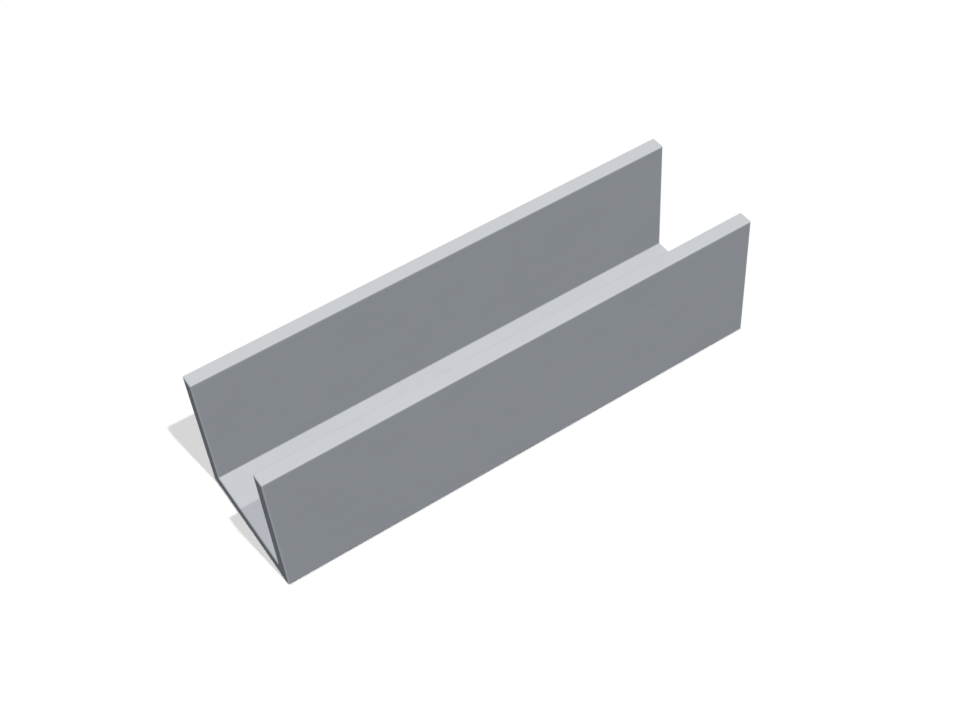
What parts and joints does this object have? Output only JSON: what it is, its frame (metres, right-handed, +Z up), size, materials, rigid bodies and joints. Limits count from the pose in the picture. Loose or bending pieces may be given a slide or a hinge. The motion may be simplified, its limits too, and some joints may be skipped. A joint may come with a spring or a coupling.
{
  "type": "plastic u-channel",
  "caption": "Square U-channel in grey rigid plastic: a short sawn length of extruded stock with a flat web and upright flanges of one wall thickness, lying on its web with its open side up.",
  "frame": {"origin": "middle of the web's underside, level with the floor the channel lies on", "axes": "+X along the extruded length, +Y across the web from flange to flange, +Z up out of the open side"},
  "size_m": [0.0666, 0.019, 0.0191],
  "materials": {
    "grey_pvc": "satin"
  },
  "bodies": {
    "root": {"u_channel": "grey_pvc"}
  },
  "joints": []
}
